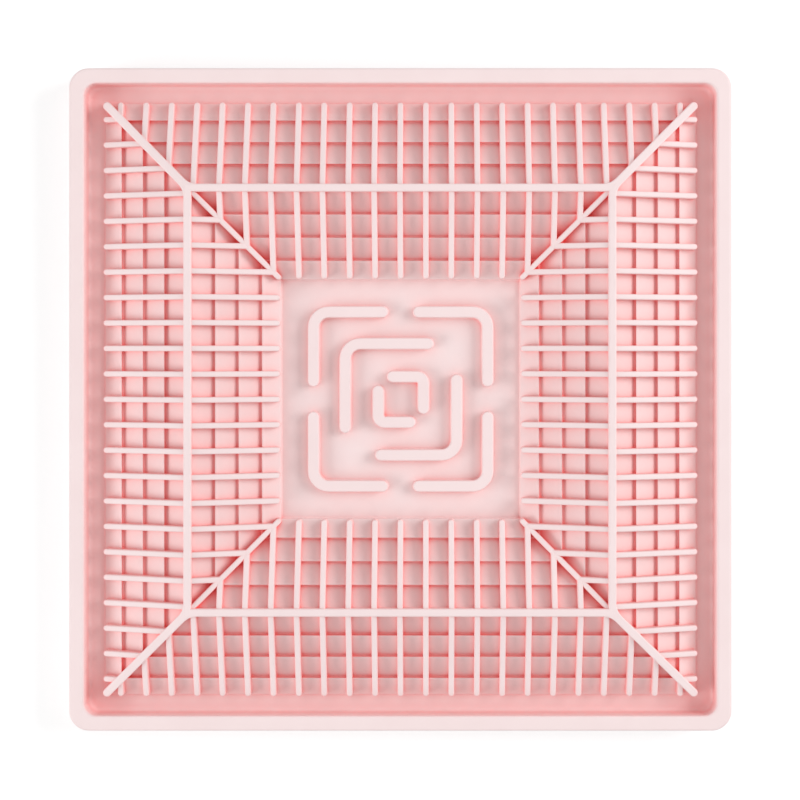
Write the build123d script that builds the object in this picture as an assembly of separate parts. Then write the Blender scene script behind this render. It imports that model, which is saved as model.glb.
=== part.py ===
from build123d import *
import math
import os

# A square silicone lick mat. A raised rim and a moat run round a four-sided ridge of stepped, finned
# terraces, and the ridge runs round a flat panel with maze bars. The mat is one moulding, and its pieces
# here are the features of that moulding, parted where they meet face to face.
# Millimetres. +Z is up, the mat rests on z = 0 and its middle is over the origin.
# right is +X, back is +Y, left is -X and front is -Y.

# Outline and rim
mat_side = 200.0
mat_corner_radius = 6.0
rim_width = 4.6
rim_height = 9.5
rim_inner_corner_radius = 3.8
rim_edge_radius = 0.8

# Floor sheet: the moat's floor and the centre panel
floor_thickness = 2.4
moat_width = 5.35
panel_side = 72.9

# Terraces, the two slopes of the ridge. Each tread falls away from the crest and ends at a low dam,
# which stands up again on its far side. The underside is hollow.
terrace_lip_height = 1.2
ridge_rise = 8.7
tread_length = 6.83
lip_tread_length = 5.67
dam_height = 1.2
terrace_wall = 3.6
terrace_foot_width = 2.4

# Crest bar, along the top of the ridge
crest_width = 2.4
crest_over_fins = 0.7
crest_edge_radius = 0.5

# Fins, down both slopes
fin_pitch = 7.7
fin_thickness = 1.75
fin_over_dams = 2.6

# Hip ribs, along the diagonals
outer_hip_width = 2.5
inner_hip_width = 1.7

# Rounding of fins and hip ribs, of their thickness
tip_round_share = 0.45
top_round_share = 0.2

# Maze bars, on the centre panel
bar_width = 3.5
bar_height = 2.8
bar_edge_radius = 0.9
wide_bend_inner_radius = 2.9
tight_bend_inner_radius = 0.4

# Places of each maze bar on the panel, of half its side: the bend's x and y, then how far the arm along X
# and the arm along Y reach.
wide_bar_shares = {
    "outer_back_left": (-0.727, 0.727, -0.104, 0.104),
    "outer_back_right": (0.727, 0.727, 0.104, 0.104),
    "outer_front_left": (-0.727, -0.727, -0.104, -0.104),
    "outer_front_right": (0.727, -0.727, 0.104, -0.104),
    "middle_back_left": (-0.463, 0.463, 0.276, -0.284),
    "middle_front_right": (0.468, -0.468, -0.211, 0.206),
}
tight_bar_shares = {
    "inner_back_right": (0.191, 0.187, -0.113, -0.125),
    "inner_front_left": (-0.187, -0.194, 0.125, 0.114),
}

# How far a cutting shape runs past what it cuts
cut_overrun = 5.0

# Half widths of the square outlines, from the mat's middle
rim_inner_half = mat_side / 2 - rim_width
ridge_outer_half = rim_inner_half - moat_width
panel_half = panel_side / 2
slope_run = (ridge_outer_half - panel_half) / 2
crest_half = panel_half + slope_run

# The bar's faces, from the crest line
crest_face = crest_width / 2

# Slopes, as fall over run, going away from the crest
ridge_slope = ridge_rise / (slope_run - crest_face)
tread_slope = ridge_slope + dam_height / tread_length
lip_top = floor_thickness + terrace_lip_height
dam_line_low = lip_top + dam_height * lip_tread_length / tread_length

# Distances of the dams from the crest line, the one nearest the crest first
tread_room = slope_run - crest_face - lip_tread_length
dam_count = int(tread_room // tread_length) + 1
dam_places = [slope_run - lip_tread_length - step * tread_length for step in reversed(range(dam_count))]

# The diagonals' turn from +X, and how much longer a distance square to a side is along them
diagonal_turn = 45
diagonal = math.sqrt(2)

# Turns about +Z that carry the right-hand pieces to each side, and the back-right ones to each corner
side_turns = {"right": 0, "back": 90, "left": 180, "front": 270}
corner_turns = {"back_right": 0, "back_left": 90, "front_left": 180, "front_right": 270}


def dam_line(out):
    """Height of the line through the dams' tops, at a distance out from the crest line."""
    return dam_line_low + ridge_slope * (slope_run - out)


def fin_line(out):
    """Height of the fins' tops."""
    return dam_line(out) + fin_over_dams


def hollow_line(out):
    """Height of the hollow's ceiling, under the terraces."""
    return dam_line(out) - terrace_wall


crest_top = fin_line(crest_face) + crest_over_fins


def upright_face(points, stretch=1):
    """A face in the upright plane through +X, from distances out from the crest line and heights."""
    corners = [(stretch * (crest_half + out), height) for out, height in points]
    return make_face(Plane.XZ * Polyline(*corners, close=True))


def across_crest(shape, stretch=1):
    """The same shape on the inner slope, which mirrors the outer one about the crest line."""
    return mirror(shape, about=Plane.YZ.offset(stretch * crest_half))


def quarter(setback=0):
    """The right-hand quarter of the mat, between its diagonals, set back from them along X."""
    far = setback + mat_side
    plan = Polygon((setback, 0), (far, -mat_side), (far, mat_side), align=None)
    return extrude(plan, amount=crest_top + cut_overrun, both=True)


def square_block(half):
    """An upright block over a square about the mat's middle."""
    return extrude(Rectangle(2 * half, 2 * half), amount=crest_top + cut_overrun)


def rounded_square(half, radius):
    return RectangleRounded(2 * half, 2 * half, radius)


def rim():
    """One side of the raised rim, with half of each corner."""
    outline = rounded_square(mat_side / 2, mat_corner_radius)
    opening = rounded_square(rim_inner_half, rim_inner_corner_radius)
    ring = extrude(outline - opening, amount=rim_height)
    top = ring.faces().sort_by(Axis.Z)[-1]
    return fillet(top.edges(), rim_edge_radius) & quarter()


def moat_floor():
    """One side of the floor strip between the rim and the ridge."""
    outline = rounded_square(rim_inner_half, rim_inner_corner_radius)
    ridge = Rectangle(2 * ridge_outer_half, 2 * ridge_outer_half)
    return extrude(outline - ridge, amount=floor_thickness) & quarter()


def centre_panel():
    return extrude(Rectangle(panel_side, panel_side), amount=floor_thickness)


def stepped_top():
    """Corners of the stepped floor, from the crest bar's face out to the lip."""
    nearest = dam_places[0]
    start = dam_line(nearest) - dam_height + tread_slope * (nearest - crest_face)
    points = [(crest_face, start)]
    for out in dam_places:
        points.append((out, dam_line(out) - dam_height))
        points.append((out, dam_line(out)))
    points.append((slope_run, lip_top))
    return points


def terrace_slab():
    """The outer slope's stepped slab, before it is mitred."""
    foot = slope_run - terrace_foot_width
    under = [
        (slope_run, 0),
        (foot, 0),
        (foot, hollow_line(foot)),
        (crest_face, hollow_line(crest_face)),
    ]
    return extrude(upright_face(stepped_top() + under), amount=mat_side / 2, both=True)


def crest_bar():
    """One side of the bar along the top of the ridge, from the hollow's ceiling up."""
    base = hollow_line(crest_face)
    section = upright_face(
        [(-crest_face, base), (crest_face, base), (crest_face, crest_top), (-crest_face, crest_top)]
    )
    rounded = fillet(section.vertices().group_by(Axis.Z)[-1], crest_edge_radius)
    return extrude(rounded, amount=mat_side / 2, both=True) & quarter()


def soften(plate, thickness):
    """Rounds the free upright end and the top edges of a plate that runs out along +X from the crest."""
    tip = plate.edges().filter_by(Axis.Z).group_by(Axis.X)[-1]
    plate = fillet(tip, tip_round_share * thickness)
    top = plate.faces().sort_by(lambda face: face.normal_at().Z)[-1]
    return fillet(top.edges().sort_by(Axis.X)[1:], top_round_share * thickness)


def fin():
    """A whole fin of the outer slope, on the centre line of its side."""
    tops = [(slope_run, fin_line(slope_run)), (crest_face, fin_line(crest_face))]
    plate = extrude(upright_face(stepped_top() + tops), amount=fin_thickness / 2, both=True)
    return soften(plate, fin_thickness)


def fin_row(whole_fin, far_half, hip_width):
    """Fins at an even pitch along one side, each cut where it runs into a hip rib."""
    setback = hip_width / diagonal
    region = quarter(setback)
    reach = int((far_half - setback - fin_thickness) // fin_pitch)
    fins = []
    for step in range(-reach, reach + 1):
        fins += (Pos(Y=step * fin_pitch) * whole_fin & region).solids()
    return Compound(fins)


def hip_rib(width, tip, over_fins):
    """A rib along +X, from the crest line to its tip, as it lies along a diagonal of the outer slope."""
    root = fin_over_dams + (dam_height + terrace_wall) / 2
    points = [
        (0, fin_line(0) - root),
        (tip, fin_line(tip) - root),
        (tip, fin_line(tip) + over_fins),
        (0, fin_line(0) + over_fins),
    ]
    plate = extrude(upright_face(points, diagonal), amount=width / 2, both=True)
    return soften(plate, width)


def outer_hip(terraces):
    """The back-right rib of the outer slope, seated on its two terraces, with its tip in their corner."""
    width = outer_hip_width
    tip = ridge_outer_half - width / 2 + tip_round_share * width / diagonal - crest_half
    rib = Rot(Z=diagonal_turn) * hip_rib(width, tip, crest_over_fins)
    return rib - square_block(crest_half + crest_face) - terraces


def inner_hip(terraces):
    """The back-right rib of the inner slope, seated on its two terraces, down to the panel's corner."""
    rib = Rot(Z=diagonal_turn) * across_crest(hip_rib(inner_hip_width, slope_run, 0), diagonal)
    return (rib & square_block(crest_half - crest_face)) - terraces


def maze_bar(shares, bend_inner_radius):
    """A low bar with one bend and rounded ends, standing on the panel."""
    bend_x, bend_y, reach_x, reach_y = [share * panel_half for share in shares]
    half = bar_width / 2
    start = (reach_x + math.copysign(half, bend_x - reach_x), bend_y)
    end = (bend_x, reach_y + math.copysign(half, bend_y - reach_y))
    path = FilletPolyline(start, (bend_x, bend_y), end, radius=half + bend_inner_radius)
    outline = make_face(offset(path, amount=half, kind=Kind.ARC, side=Side.BOTH))
    bar = Pos(Z=floor_thickness) * extrude(outline, amount=bar_height)
    top = bar.faces().sort_by(Axis.Z)[-1]
    return fillet(top.edges(), bar_edge_radius)


def side_pieces():
    """The right-hand side's pieces, by name."""
    slab = terrace_slab()
    whole_fin = fin()
    return {
        "rim": rim(),
        "moat_floor": moat_floor(),
        "outer_terrace": slab & quarter(),
        "inner_terrace": across_crest(slab) & quarter(),
        "crest_bar": crest_bar(),
        "outer_fins": fin_row(whole_fin, ridge_outer_half, outer_hip_width),
        "inner_fins": fin_row(across_crest(whole_fin), crest_half - crest_face, inner_hip_width),
    }


def all_pieces():
    """Every piece of the mat, by name and in its place."""
    right = side_pieces()
    back_turn = Rot(Z=side_turns["back"])
    outer_pair = [right["outer_terrace"], back_turn * right["outer_terrace"]]
    inner_pair = [right["inner_terrace"], back_turn * right["inner_terrace"]]
    corner = {"outer_hip": outer_hip(outer_pair), "inner_hip": inner_hip(inner_pair)}
    pieces = {"centre_panel": centre_panel()}
    for name, shape in right.items():
        for side, turn in side_turns.items():
            pieces[f"{name}_{side}"] = Rot(Z=turn) * shape
    for name, shape in corner.items():
        for place, turn in corner_turns.items():
            pieces[f"{name}_{place}"] = Rot(Z=turn) * shape
    for name, shares in wide_bar_shares.items():
        pieces[f"maze_bar_{name}"] = maze_bar(shares, wide_bend_inner_radius)
    for name, shares in tight_bar_shares.items():
        pieces[f"maze_bar_{name}"] = maze_bar(shares, tight_bend_inner_radius)
    return pieces


os.makedirs("parts", exist_ok=True)
for name, shape in all_pieces().items():
    export_step(shape, f"parts/{name}.step")
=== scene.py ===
import math

import bmesh
import bpy
from mathutils import Matrix, Vector


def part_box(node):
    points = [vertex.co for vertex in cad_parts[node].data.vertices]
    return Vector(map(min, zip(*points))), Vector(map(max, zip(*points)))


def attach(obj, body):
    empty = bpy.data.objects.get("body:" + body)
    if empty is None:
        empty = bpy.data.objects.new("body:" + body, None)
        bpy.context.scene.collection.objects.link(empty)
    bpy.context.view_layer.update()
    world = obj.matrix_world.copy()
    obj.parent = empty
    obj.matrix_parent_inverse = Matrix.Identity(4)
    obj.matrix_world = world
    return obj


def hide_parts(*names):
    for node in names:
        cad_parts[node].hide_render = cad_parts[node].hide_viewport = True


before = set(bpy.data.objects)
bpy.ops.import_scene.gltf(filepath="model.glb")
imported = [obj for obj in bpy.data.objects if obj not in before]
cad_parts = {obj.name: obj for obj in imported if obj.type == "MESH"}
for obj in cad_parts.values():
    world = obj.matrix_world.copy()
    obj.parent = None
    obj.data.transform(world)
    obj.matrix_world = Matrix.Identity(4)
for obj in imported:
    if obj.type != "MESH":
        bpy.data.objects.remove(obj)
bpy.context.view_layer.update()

# Outlines and heights that the solids give
panel_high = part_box("centre_panel")[1]
moat_low, moat_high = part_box("moat_floor_right")
rim_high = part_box("rim_right")[1]
crest_low, crest_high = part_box("crest_bar_right")
panel_half = panel_high.x
ridge_half = moat_low.x
rim_inner_half = moat_high.x
rim_half = rim_high.x
rim_top = rim_high.z
floor_top = panel_high.z
crest_top = crest_high.z
crest_half = (crest_low.x + crest_high.x) / 2
crest_face = (crest_high.x - crest_low.x) / 2
slope_run = ridge_half - crest_half

# Rim
rim_corner_radius = 0.006
rim_inner_corner_radius = 0.0038
rim_edge_radius = 0.0009
rim_foot_radius = 0.0004

# Floor: fillets where it meets the rim, the ridge and the panel's lip
rim_fillet = 0.0014
ridge_fillet = 0.0006
panel_fillet = 0.0004
floor_inner_corner_radius = 0.0003

# Terraces
lip_height = 0.0012
lip_edge_radius = 0.00035
ridge_rise = 0.0087
tread_length = 0.00683
lip_tread_length = 0.00567
dam_height = 0.0012
dam_draft = 0.0002
dam_foot_radius = 0.0003
bead_rise = 0.00015
bead_width = 0.0006
bead_fall = 0.0004
bead_edge_radius = 0.00022
terrace_wall = 0.0036
terrace_foot_width = 0.0024

# Crest bar
crest_edge_radius = 0.0006
crest_over_fins = 0.0007

# Fins and hip ribs
fin_pitch = 0.0077
fin_thickness = 0.00175
fin_over_dams = 0.0026
fin_edge_radius = 0.00045
outer_hip_width = 0.0025
outer_hip_setback = 0.000625
inner_hip_width = 0.0017
hip_depth = 0.0048
hip_join_radius = 0.005
tip_inset = 0.00005

# Maze bars
bar_width = 0.0035
bar_height = 0.0028
bar_edge_radius = 0.0005
bar_flare = 0.0002
wide_bend_radius = 0.00465
tight_bend_radius = 0.00215

# Places of each maze bar, of half the panel's side: the bend's x and y, then how far the arm along X and the
# arm along Y reach
wide_bar_shares = {
    "outer_back_left": (-0.727, 0.727, -0.104, 0.104),
    "outer_back_right": (0.727, 0.727, 0.104, 0.104),
    "outer_front_left": (-0.727, -0.727, -0.104, -0.104),
    "outer_front_right": (0.727, -0.727, 0.104, -0.104),
    "middle_back_left": (-0.463, 0.463, 0.276, -0.284),
    "middle_front_right": (0.468, -0.468, -0.211, 0.206),
}
tight_bar_shares = {
    "inner_back_right": (0.191, 0.187, -0.113, -0.125),
    "inner_front_left": (-0.187, -0.194, 0.125, 0.114),
}

# How far a piece reaches into its neighbour, so that no gap shows between them
lap = 0.0002
root_sink = 0.0008

# Fineness of round corners, bends and tips, in steps
corner_steps = 4
bend_steps = 8
tip_steps = 8
sharp_angle = math.radians(40)

# Slopes of the ridge, as fall over run, and the height of the dams' tops at its foot
ridge_slope = ridge_rise / (slope_run - crest_face)
tread_slope = ridge_slope + dam_height / tread_length
lip_top = floor_top + lip_height
dam_line_low = lip_top + dam_height * lip_tread_length / tread_length
dam_count = int((slope_run - crest_face - lip_tread_length) // tread_length) + 1
dam_places = [slope_run - lip_tread_length - step * tread_length for step in reversed(range(dam_count))]

diagonal = math.sqrt(2)
quarter_turn = math.pi / 2
eighth_turn = math.pi / 4
sides = ("right", "back", "left", "front")
corners = ("back_right", "back_left", "front_left", "front_right")


def dam_line(out):
    """Height of the line through the dams' tops, at a distance out from the crest line."""
    return dam_line_low + ridge_slope * (slope_run - out)


def fin_line(out):
    """Height of the fins' tops."""
    return dam_line(out) + fin_over_dams


def turns(first, last, steps):
    """Evenly spaced angles, both ends included."""
    return [first + (last - first) * step / steps for step in range(steps + 1)]


def rounded(points):
    """A closed outline of (x, z, radius) corners as plain points, each corner with its rounding."""
    outline = []
    for before, corner, after in zip(points[-1:] + points[:-1], points, points[1:] + points[:1]):
        here = Vector(corner[:2])
        radius = corner[2]
        if not radius:
            outline.append(here)
            continue
        back = Vector(before[:2]) - here
        ahead = Vector(after[:2]) - here
        setback = radius / math.tan(back.angle(ahead) / 2)
        start = here + back.normalized() * setback
        end = here + ahead.normalized() * setback
        for step in range(corner_steps + 1):
            share = step / corner_steps
            outline.append(start.lerp(here, share).lerp(here.lerp(end, share), share))
    return outline


def add_loft(mesh, rings):
    """Joins closed rings of points, one after the other, and caps both ends."""
    loops = [[mesh.verts.new(point) for point in ring] for ring in rings]
    for low, high in zip(loops, loops[1:]):
        for index in range(len(low)):
            mesh.faces.new((low[index - 1], low[index], high[index], high[index - 1]))
    mesh.faces.new(loops[0])
    mesh.faces.new(loops[-1])


def add_piece(node, lofts, material, turn=0):
    """A moulded piece that stands for a solid, made of one or more lofts that are turned about +Z."""
    mesh = bmesh.new()
    for rings in lofts:
        add_loft(mesh, rings)
    bmesh.ops.recalc_face_normals(mesh, faces=mesh.faces)
    for face in mesh.faces:
        face.smooth = True
    data = bpy.data.meshes.new(f"{node}_moulded")
    mesh.transform(Matrix.Rotation(turn, 4, "Z"))
    mesh.to_mesh(data)
    mesh.free()
    data.set_sharp_from_angle(angle=sharp_angle)
    data.materials.append(material)
    piece = bpy.data.objects.new(f"{node}_moulded", data)
    bpy.context.scene.collection.objects.link(piece)
    piece.modifiers.new("even_normals", "WEIGHTED_NORMAL").keep_sharp = True
    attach(piece, "root")
    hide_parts(node)


def contour_radius(half):
    """Corner radius of the level outline at a half width, between the ridge and the rim's outside."""
    low, high = ridge_half - lap, rim_inner_half
    low_radius, high_radius = floor_inner_corner_radius, rim_inner_corner_radius
    if half > rim_inner_half:
        low, high = rim_inner_half, rim_half
        low_radius, high_radius = rim_inner_corner_radius, rim_corner_radius
    return low_radius + (high_radius - low_radius) * (half - low) / (high - low)


def round_side(section):
    """Rings of the right-hand side of a square ring with round corners, from its (half, z) section."""
    stations = [(-1, turn) for turn in turns(eighth_turn, 0, bend_steps)]
    stations += [(1, turn) for turn in turns(0, eighth_turn, bend_steps)]
    rings = []
    for end, turn in stations:
        ring = []
        for half, z in section:
            radius = contour_radius(half)
            middle = half - radius
            ring.append((middle + radius * math.cos(turn), end * (middle + radius * math.sin(turn)), z))
        rings.append(ring)
    return rings


def mitred_side(section):
    """Rings of the right-hand side of a square ring with sharp corners."""
    return [[(half, end * half, z) for half, z in section] for end in (-1, 1)]


def rim_section():
    return rounded([
        (rim_inner_half, 0, 0),
        (rim_half, 0, rim_foot_radius),
        (rim_half, rim_top, rim_edge_radius),
        (rim_inner_half, rim_top, rim_edge_radius),
    ])


def moat_section():
    """The moat's floor, which rises to both of its walls in a fillet."""
    return rounded([
        (ridge_half, 0, 0),
        (ridge_half - lap, lap, 0),
        (ridge_half - lap, floor_top + ridge_fillet, 0),
        (ridge_half, floor_top + ridge_fillet, 0),
        (ridge_half, floor_top, ridge_fillet),
        (rim_inner_half, floor_top, rim_fillet),
        (rim_inner_half, floor_top + rim_fillet, 0),
        (rim_inner_half + lap, floor_top + rim_fillet, 0),
        (rim_inner_half + lap, lap, 0),
        (rim_inner_half, 0, 0),
    ])


def terrace_corners():
    """Corners of a slope's section, as distances out from the crest line and heights: top, then underside."""
    nearest = dam_places[0]
    start = crest_face - lap
    top = [(start, dam_line(nearest) - dam_height + tread_slope * (nearest - start), 0)]
    for out in dam_places:
        top.append((out - dam_draft / 2, dam_line(out) - dam_height, dam_foot_radius))
        bead_start = out + dam_draft / 2
        bead_end = bead_start + bead_width
        fall_end = bead_end + bead_fall
        top.append((bead_start, dam_line(out) + bead_rise, bead_edge_radius))
        top.append((bead_end, dam_line(out) + bead_rise - tread_slope * bead_width, bead_edge_radius))
        top.append((fall_end, dam_line(out) - tread_slope * (fall_end - bead_start), 0))
    top.append((slope_run, lip_top, lip_edge_radius))
    foot = slope_run - terrace_foot_width
    under = [
        (slope_run, 0, 0),
        (foot, 0, 0),
        (foot, dam_line(foot) - terrace_wall, 0),
        (start, dam_line(start) - terrace_wall, 0),
    ]
    return top, under


terrace_top, terrace_under = terrace_corners()
terrace_section = rounded(terrace_top + terrace_under)


def crest_section():
    base = dam_line(crest_face) - terrace_wall
    return rounded([
        (crest_half - crest_face, base, 0),
        (crest_half + crest_face, base, 0),
        (crest_half + crest_face, crest_top, crest_edge_radius),
        (crest_half - crest_face, crest_top, crest_edge_radius),
    ])


def flare_layers(flare):
    """Insets and lifts of the fillet at a bar's root."""
    return [
        (-flare * (1 - math.sin(turn)), flare * (1 - math.cos(turn)))
        for turn in turns(0, quarter_turn, corner_steps)
    ]


def edge_layers(radius):
    """Insets and lifts of the rounding at the top of a fin, hip or bar."""
    return [
        (radius * (1 - math.cos(turn)), -radius * (1 - math.sin(turn)))
        for turn in turns(0, quarter_turn, corner_steps)
    ]


def cut_fin(middle, slope):
    """Where a fin of a slope starts and ends, and the slant of each end, from its place along the side."""
    beyond = abs(middle)
    slant = math.copysign(1, middle)
    if slope > 0 and beyond > crest_half + crest_face:
        return beyond - crest_half, slant, slope_run - tip_inset, None
    if slope < 0 and beyond > panel_half:
        return crest_face - lap, 0, crest_half - beyond, -slant
    return crest_face - lap, 0, slope_run - tip_inset, None


def fin_rings(middle, slope):
    """Rings of one fin of the right-hand side, outer slope if slope is 1 and inner if it is -1."""
    start, start_slant, end, end_slant = cut_fin(middle, slope)
    half_width = fin_thickness / 2
    last = end - half_width

    def outline(inset):
        half = half_width - inset
        low = (start - start_slant * half, -half)
        high = (start + start_slant * half, half)
        if end_slant is None:
            tip = [
                (min(last + half * math.cos(turn), end), half * math.sin(turn))
                for turn in turns(-quarter_turn, quarter_turn, tip_steps)
            ]
        else:
            tip = [(end - end_slant * half, -half), (end + end_slant * half, half)]
        return [low] + tip + [high]

    layers = [(outline(0), -fin_over_dams - dam_height - root_sink)]
    layers += [(outline(inset), lift) for inset, lift in edge_layers(fin_edge_radius)]
    return [
        [(crest_half + slope * out, middle + across, fin_line(out) + lift) for out, across in points]
        for points, lift in layers
    ]


def fin_row(slope, far_half, hip_width):
    """Rings of every fin of one slope of the right-hand side."""
    reach = int((far_half - hip_width / diagonal - fin_thickness) // fin_pitch)
    return [fin_rings(step * fin_pitch, slope) for step in range(-reach, reach + 1)]


def hip_join(width):
    """How a hip widens into the crest's corner: distances along the diagonal and the half width there."""
    meet = diagonal * (crest_half + crest_face) - width / 2
    reach = hip_join_radius * math.tan(eighth_turn / 2)
    joins = []
    for turn in turns(eighth_turn, 0, corner_steps + 1):
        along = meet + reach - hip_join_radius * math.sin(turn)
        joins.append((along, width / 2 + hip_join_radius * (1 - math.cos(turn))))
    return joins


def hip_rings(width, path, tip, slope, over_fins):
    """Rings of one hip rib along the back-right diagonal, from (distance, half width) pairs and its tip."""
    last = tip - slope * width / 2

    def outline(inset):
        low = [(along, inset - half) for along, half in path]
        high = [(along, half - inset) for along, half in path]
        half = width / 2 - inset
        end = [
            (last + slope * half * math.cos(turn), half * math.sin(turn))
            for turn in turns(-quarter_turn, quarter_turn, tip_steps)
        ]
        return low + end + high[::-1]

    def top(along):
        out = abs(along / diagonal - crest_half)
        return min(fin_line(out) + over_fins, crest_top - tip_inset)

    layers = [(outline(0), -hip_depth)]
    layers += [(outline(inset), lift) for inset, lift in edge_layers(fin_edge_radius)]
    return [
        [
            ((along - across) / diagonal, (along + across) / diagonal, top(along) + lift)
            for along, across in points
        ]
        for points, lift in layers
    ]


def outer_hip():
    tip = diagonal * ridge_half - outer_hip_setback
    return hip_rings(outer_hip_width, hip_join(outer_hip_width), tip, 1, crest_over_fins)


def inner_hip():
    start = diagonal * crest_half
    return hip_rings(inner_hip_width, [(start, inner_hip_width / 2)], diagonal * panel_half, -1, 0)


def bar_path(shares, bend_radius):
    """Points and normals along a maze bar's middle line, from its X arm's end to its Y arm's end."""
    bend_x, bend_y, reach_x, reach_y = [share * panel_half for share in shares]
    toward_x = math.copysign(1, bend_x - reach_x)
    toward_y = math.copysign(1, reach_y - bend_y)
    end = bar_width / 2
    path = [(Vector((reach_x + toward_x * end, bend_y)), Vector((0, toward_y)))]
    centre = Vector((bend_x - toward_x * bend_radius, bend_y + toward_y * bend_radius))
    for turn in turns(0, quarter_turn, bend_steps):
        normal = Vector((-toward_x * math.sin(turn), toward_y * math.cos(turn)))
        path.append((centre - bend_radius * normal, normal))
    path.append((Vector((bend_x, reach_y - toward_y * end)), Vector((-toward_x, 0))))
    return path


def bar_rings(shares, bend_radius):
    """Rings of one maze bar, a low rounded bar with one bend and round ends."""
    path = bar_path(shares, bend_radius)

    def cap(end, first, half):
        """The round end, from one side of the bar to the other."""
        point, normal = path[end]
        ahead = point - path[first][0]
        ahead.normalize()
        return [
            point + half * (normal * math.cos(turn) + ahead * math.sin(turn))
            for turn in turns(0, math.pi, tip_steps)[1:-1]
        ]

    def outline(inset):
        half = bar_width / 2 - inset
        inner = [point + normal * half for point, normal in path]
        outer = [point - normal * half for point, normal in path]
        return inner + cap(-1, -2, half) + outer[::-1] + cap(0, 1, half)[::-1]

    bar_top = floor_top + bar_height
    layers = [(outline(-bar_flare), floor_top - root_sink)]
    layers += [(outline(inset), floor_top + lift) for inset, lift in flare_layers(bar_flare)]
    layers += [(outline(inset), bar_top + lift) for inset, lift in edge_layers(bar_edge_radius)]
    return [[(point.x, point.y, z) for point in points] for points, z in layers]


def panel_rings():
    """Rings of the centre panel, a plate that rises to the lip round it in a fillet."""
    levels = [(panel_half, 0), (panel_half + lap, lap), (panel_half + lap, floor_top + panel_fillet)]
    levels += [
        (panel_half - panel_fillet * (1 - math.cos(turn)), floor_top + panel_fillet * (1 - math.sin(turn)))
        for turn in turns(0, quarter_turn, corner_steps)
    ]
    return [[(half, -half, z), (half, half, z), (-half, half, z), (-half, -half, z)] for half, z in levels]


def link(tree, output, target):
    tree.links.new(output, target)


def noise(tree, scale, detail):
    """Noise over places in the room, so that it runs on from piece to piece."""
    place = tree.nodes.new("ShaderNodeNewGeometry")
    texture = tree.nodes.new("ShaderNodeTexNoise")
    texture.inputs["Scale"].default_value = scale
    texture.inputs["Detail"].default_value = detail
    link(tree, place.outputs["Position"], texture.inputs["Vector"])
    return texture.outputs["Fac"]


def ramp(tree, value, stops):
    """Colours over a value, from the colour at each stop."""
    node = tree.nodes.new("ShaderNodeValToRGB")
    elements = node.color_ramp.elements
    while len(elements) < len(stops):
        elements.new(1)
    for element, (place, colour) in zip(elements, stops.items()):
        element.position = place
        element.color = (*colour, 1)
    link(tree, value, node.inputs["Fac"])
    return node.outputs["Color"]


def blend_colour(tree, mode, factor, base, tint):
    node = tree.nodes.new("ShaderNodeMix")
    node.data_type = "RGBA"
    node.blend_type = mode
    node.inputs["Factor"].default_value = factor
    link(tree, base, node.inputs["A"])
    link(tree, tint, node.inputs["B"])
    return node.outputs["Result"]


# Silicone: painted shade in its colour, by how open a place is, from deep recess to open top
openness_samples = 6
recess_reach = 0.009
painted_recess_shade = {
    0.15: (0.95, 0.36, 0.35),
    0.35: (0.95, 0.52, 0.51),
    0.5: (0.95, 0.63, 0.62),
    0.6: (0.955, 0.715, 0.707),
    0.7: (0.97, 0.765, 0.757),
    0.85: (0.95, 0.705, 0.697),
    0.95: (0.96, 0.757, 0.751),
    1.0: (0.985, 0.82, 0.816),
}
# Painted shade at creases: a darker, redder colour near the foot of each wall
crease_reach = 0.0018
painted_crease_shade = {
    0.3: (0.97, 0.6, 0.59),
    0.55: (1.0, 1.0, 1.0),
}

# Silicone: a faint mottle over its colour, a fine grain, and its gloss
mottle_scale = 90
mottle_detail = 3
mottle_share = 0.35
mottle_colours = {
    0.35: (0.955, 0.93, 0.93),
    0.65: (1.0, 1.0, 1.0),
}
grain_scale = 2600
grain_detail = 2
grain_depth = 0.00002
rough_low, rough_high = 0.44, 0.62
silicone_ior = 1.41


def openness(tree, reach):
    """1 where nothing stands within reach, and less the more of it is closed in."""
    node = tree.nodes.new("ShaderNodeAmbientOcclusion")
    node.samples = openness_samples
    node.inputs["Distance"].default_value = reach
    return node.outputs["AO"]


def silicone():
    """Matt moulded silicone with painted shade: pale on open tops, redder and darker in recesses and creases
    where shade falls.
    """
    material = bpy.data.materials.new("silicone")
    material.use_nodes = True
    tree = material.node_tree
    shader = tree.nodes["Principled BSDF"]
    mottle = ramp(tree, noise(tree, mottle_scale, mottle_detail), mottle_colours)
    # Painted shade: the colour turns redder and darker where a place is closed in, in recesses and at creases
    recess_shade = ramp(tree, openness(tree, recess_reach), painted_recess_shade)
    crease_shade = ramp(tree, openness(tree, crease_reach), painted_crease_shade)
    base = blend_colour(tree, "MULTIPLY", 1, recess_shade, crease_shade)
    link(tree, blend_colour(tree, "MULTIPLY", mottle_share, base, mottle), shader.inputs["Base Color"])
    grain = noise(tree, grain_scale, grain_detail)
    rough = tree.nodes.new("ShaderNodeMapRange")
    rough.inputs["To Min"].default_value = rough_low
    rough.inputs["To Max"].default_value = rough_high
    link(tree, grain, rough.inputs["Value"])
    link(tree, rough.outputs["Result"], shader.inputs["Roughness"])
    bump = tree.nodes.new("ShaderNodeBump")
    bump.inputs["Distance"].default_value = grain_depth
    link(tree, grain, bump.inputs["Height"])
    link(tree, bump.outputs["Normal"], shader.inputs["Normal"])
    shader.inputs["IOR"].default_value = silicone_ior
    return material


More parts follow.
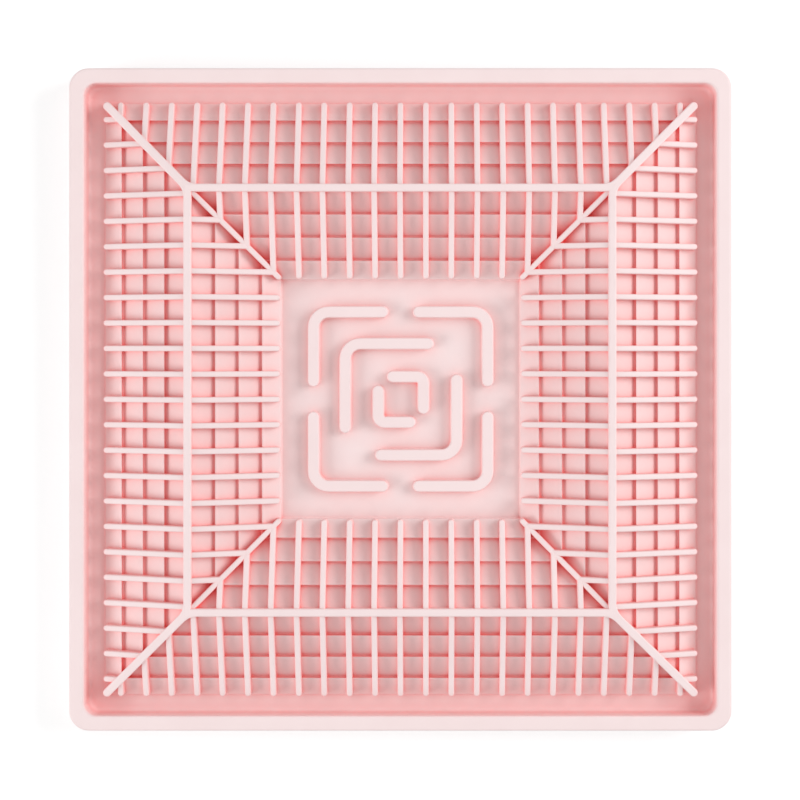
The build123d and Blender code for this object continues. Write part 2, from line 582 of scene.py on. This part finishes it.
def mould_mat():
    """Every piece of the mat, in silicone."""
    material = silicone()
    outer_slope = [(crest_half + point.x, point.y) for point in terrace_section]
    inner_slope = [(crest_half - point.x, point.y) for point in terrace_section]
    side_lofts = {
        "rim": [round_side(rim_section())],
        "moat_floor": [round_side(moat_section())],
        "outer_terrace": [mitred_side(outer_slope)],
        "inner_terrace": [mitred_side(inner_slope)],
        "crest_bar": [mitred_side(crest_section())],
        "outer_fins": fin_row(1, ridge_half, outer_hip_width),
        "inner_fins": fin_row(-1, crest_half - crest_face, inner_hip_width),
    }
    for name, lofts in side_lofts.items():
        for index, side in enumerate(sides):
            add_piece(f"{name}_{side}", lofts, material, index * quarter_turn)
    for name, rings in {"outer_hip": outer_hip(), "inner_hip": inner_hip()}.items():
        for index, corner in enumerate(corners):
            add_piece(f"{name}_{corner}", [rings], material, index * quarter_turn)
    add_piece("centre_panel", [panel_rings()], material)
    for name, shares in wide_bar_shares.items():
        add_piece(f"maze_bar_{name}", [bar_rings(shares, wide_bend_radius)], material)
    for name, shares in tight_bar_shares.items():
        add_piece(f"maze_bar_{name}", [bar_rings(shares, tight_bend_radius)], material)


# Light that passes between the fins many times over
diffuse_bounces = 10

# Floor and world
floor_half = 0.5
floor_drop = 0.0002
floor_colour = (0.85, 0.85, 0.85, 1)
floor_roughness = 0.9
floor_glow = 0.3
white = (1, 1, 1, 1)
world_light = 0.55


def seen_directly(tree):
    """1 for rays of the camera, mirrors and glass, which show the white background."""
    path = tree.nodes.new("ShaderNodeLightPath")
    camera_or_mirror = tree.nodes.new("ShaderNodeMath")
    camera_or_mirror.operation = "MAXIMUM"
    any_of_them = tree.nodes.new("ShaderNodeMath")
    any_of_them.operation = "MAXIMUM"
    link(tree, path.outputs["Is Camera Ray"], camera_or_mirror.inputs[0])
    link(tree, path.outputs["Is Glossy Ray"], camera_or_mirror.inputs[1])
    link(tree, camera_or_mirror.outputs["Value"], any_of_them.inputs[0])
    link(tree, path.outputs["Is Transmission Ray"], any_of_them.inputs[1])
    return any_of_them.outputs["Value"]


def floor_white():
    """White that takes the mat's shadow, glows a little where it is seen, and is clear from below."""
    material = bpy.data.materials.new("floor_white")
    material.use_nodes = True
    tree = material.node_tree
    shader = tree.nodes["Principled BSDF"]
    shader.inputs["Base Color"].default_value = floor_colour
    shader.inputs["Roughness"].default_value = floor_roughness
    shader.inputs["Emission Color"].default_value = white
    glow = tree.nodes.new("ShaderNodeMath")
    glow.operation = "MULTIPLY"
    glow.inputs[1].default_value = floor_glow
    link(tree, seen_directly(tree), glow.inputs[0])
    link(tree, glow.outputs["Value"], shader.inputs["Emission Strength"])
    clear = tree.nodes.new("ShaderNodeBsdfTransparent")
    place = tree.nodes.new("ShaderNodeNewGeometry")
    both = tree.nodes.new("ShaderNodeMixShader")
    link(tree, place.outputs["Backfacing"], both.inputs["Fac"])
    link(tree, shader.outputs["BSDF"], both.inputs[1])
    link(tree, clear.outputs["BSDF"], both.inputs[2])
    link(tree, both.outputs["Shader"], tree.nodes["Material Output"].inputs["Surface"])
    return material


def white_floor():
    """A square floor just under the mat. It keeps no light from the underside and closes in no recess."""
    data = bpy.data.meshes.new("floor")
    spread = ((-1, -1), (1, -1), (1, 1), (-1, 1))
    data.from_pydata([(floor_half * x, floor_half * y, -floor_drop) for x, y in spread], [], [(0, 1, 2, 3)])
    data.materials.append(floor_white())
    floor = bpy.data.objects.new("floor", data)
    bpy.context.scene.collection.objects.link(floor)
    floor.visible_shadow = False
    floor.visible_diffuse = False


def white_world():
    """White where it is seen, and a softer light on everything else."""
    world = bpy.data.worlds.new("studio")
    bpy.context.scene.world = world
    world.use_nodes = True
    tree = world.node_tree
    background = tree.nodes["Background"]
    background.inputs["Color"].default_value = white
    strength = tree.nodes.new("ShaderNodeMapRange")
    strength.inputs["To Min"].default_value = world_light
    strength.inputs["To Max"].default_value = 1
    link(tree, seen_directly(tree), strength.inputs["Value"])
    link(tree, strength.outputs["Result"], background.inputs["Strength"])


# Soft lamps: where each one stands, its width and height, and its power in watts. All point at the mat.
lamps = {
    "right_softbox": ((1.0, 0.27, 0.6), (0.7, 0.5), 7.0),
    "left_softbox": ((-1.02, -0.31, 0.51), (0.7, 0.4), 5.5),
}


def soft_lamp(name, place, size, power):
    data = bpy.data.lights.new(name, "AREA")
    data.shape = "RECTANGLE"
    data.size, data.size_y = size
    data.energy = power
    lamp = bpy.data.objects.new(name, data)
    lamp.location = place
    lamp.rotation_euler = (-Vector(place)).to_track_quat("-Z", "Y").to_euler()
    bpy.context.scene.collection.objects.link(lamp)


# Camera: straight down from a little right of the mat's middle and behind it, with the mat centred by shift
camera_place = (0.0097, 0.0148, 0.5115)
camera_lens = 74.94
camera_sensor = 36.0
camera_shift = (-0.0406, -0.062)


def top_camera():
    data = bpy.data.cameras.new("camera")
    data.lens = camera_lens
    data.sensor_width = camera_sensor
    data.shift_x, data.shift_y = camera_shift
    camera = bpy.data.objects.new("camera", data)
    camera.location = camera_place
    bpy.context.scene.collection.objects.link(camera)
    bpy.context.scene.camera = camera


mould_mat()
white_floor()
white_world()
for lamp_name, lamp_values in lamps.items():
    soft_lamp(lamp_name, *lamp_values)
top_camera()
bpy.context.scene.view_settings.view_transform = "Standard"
bpy.context.scene.cycles.diffuse_bounces = diffuse_bounces
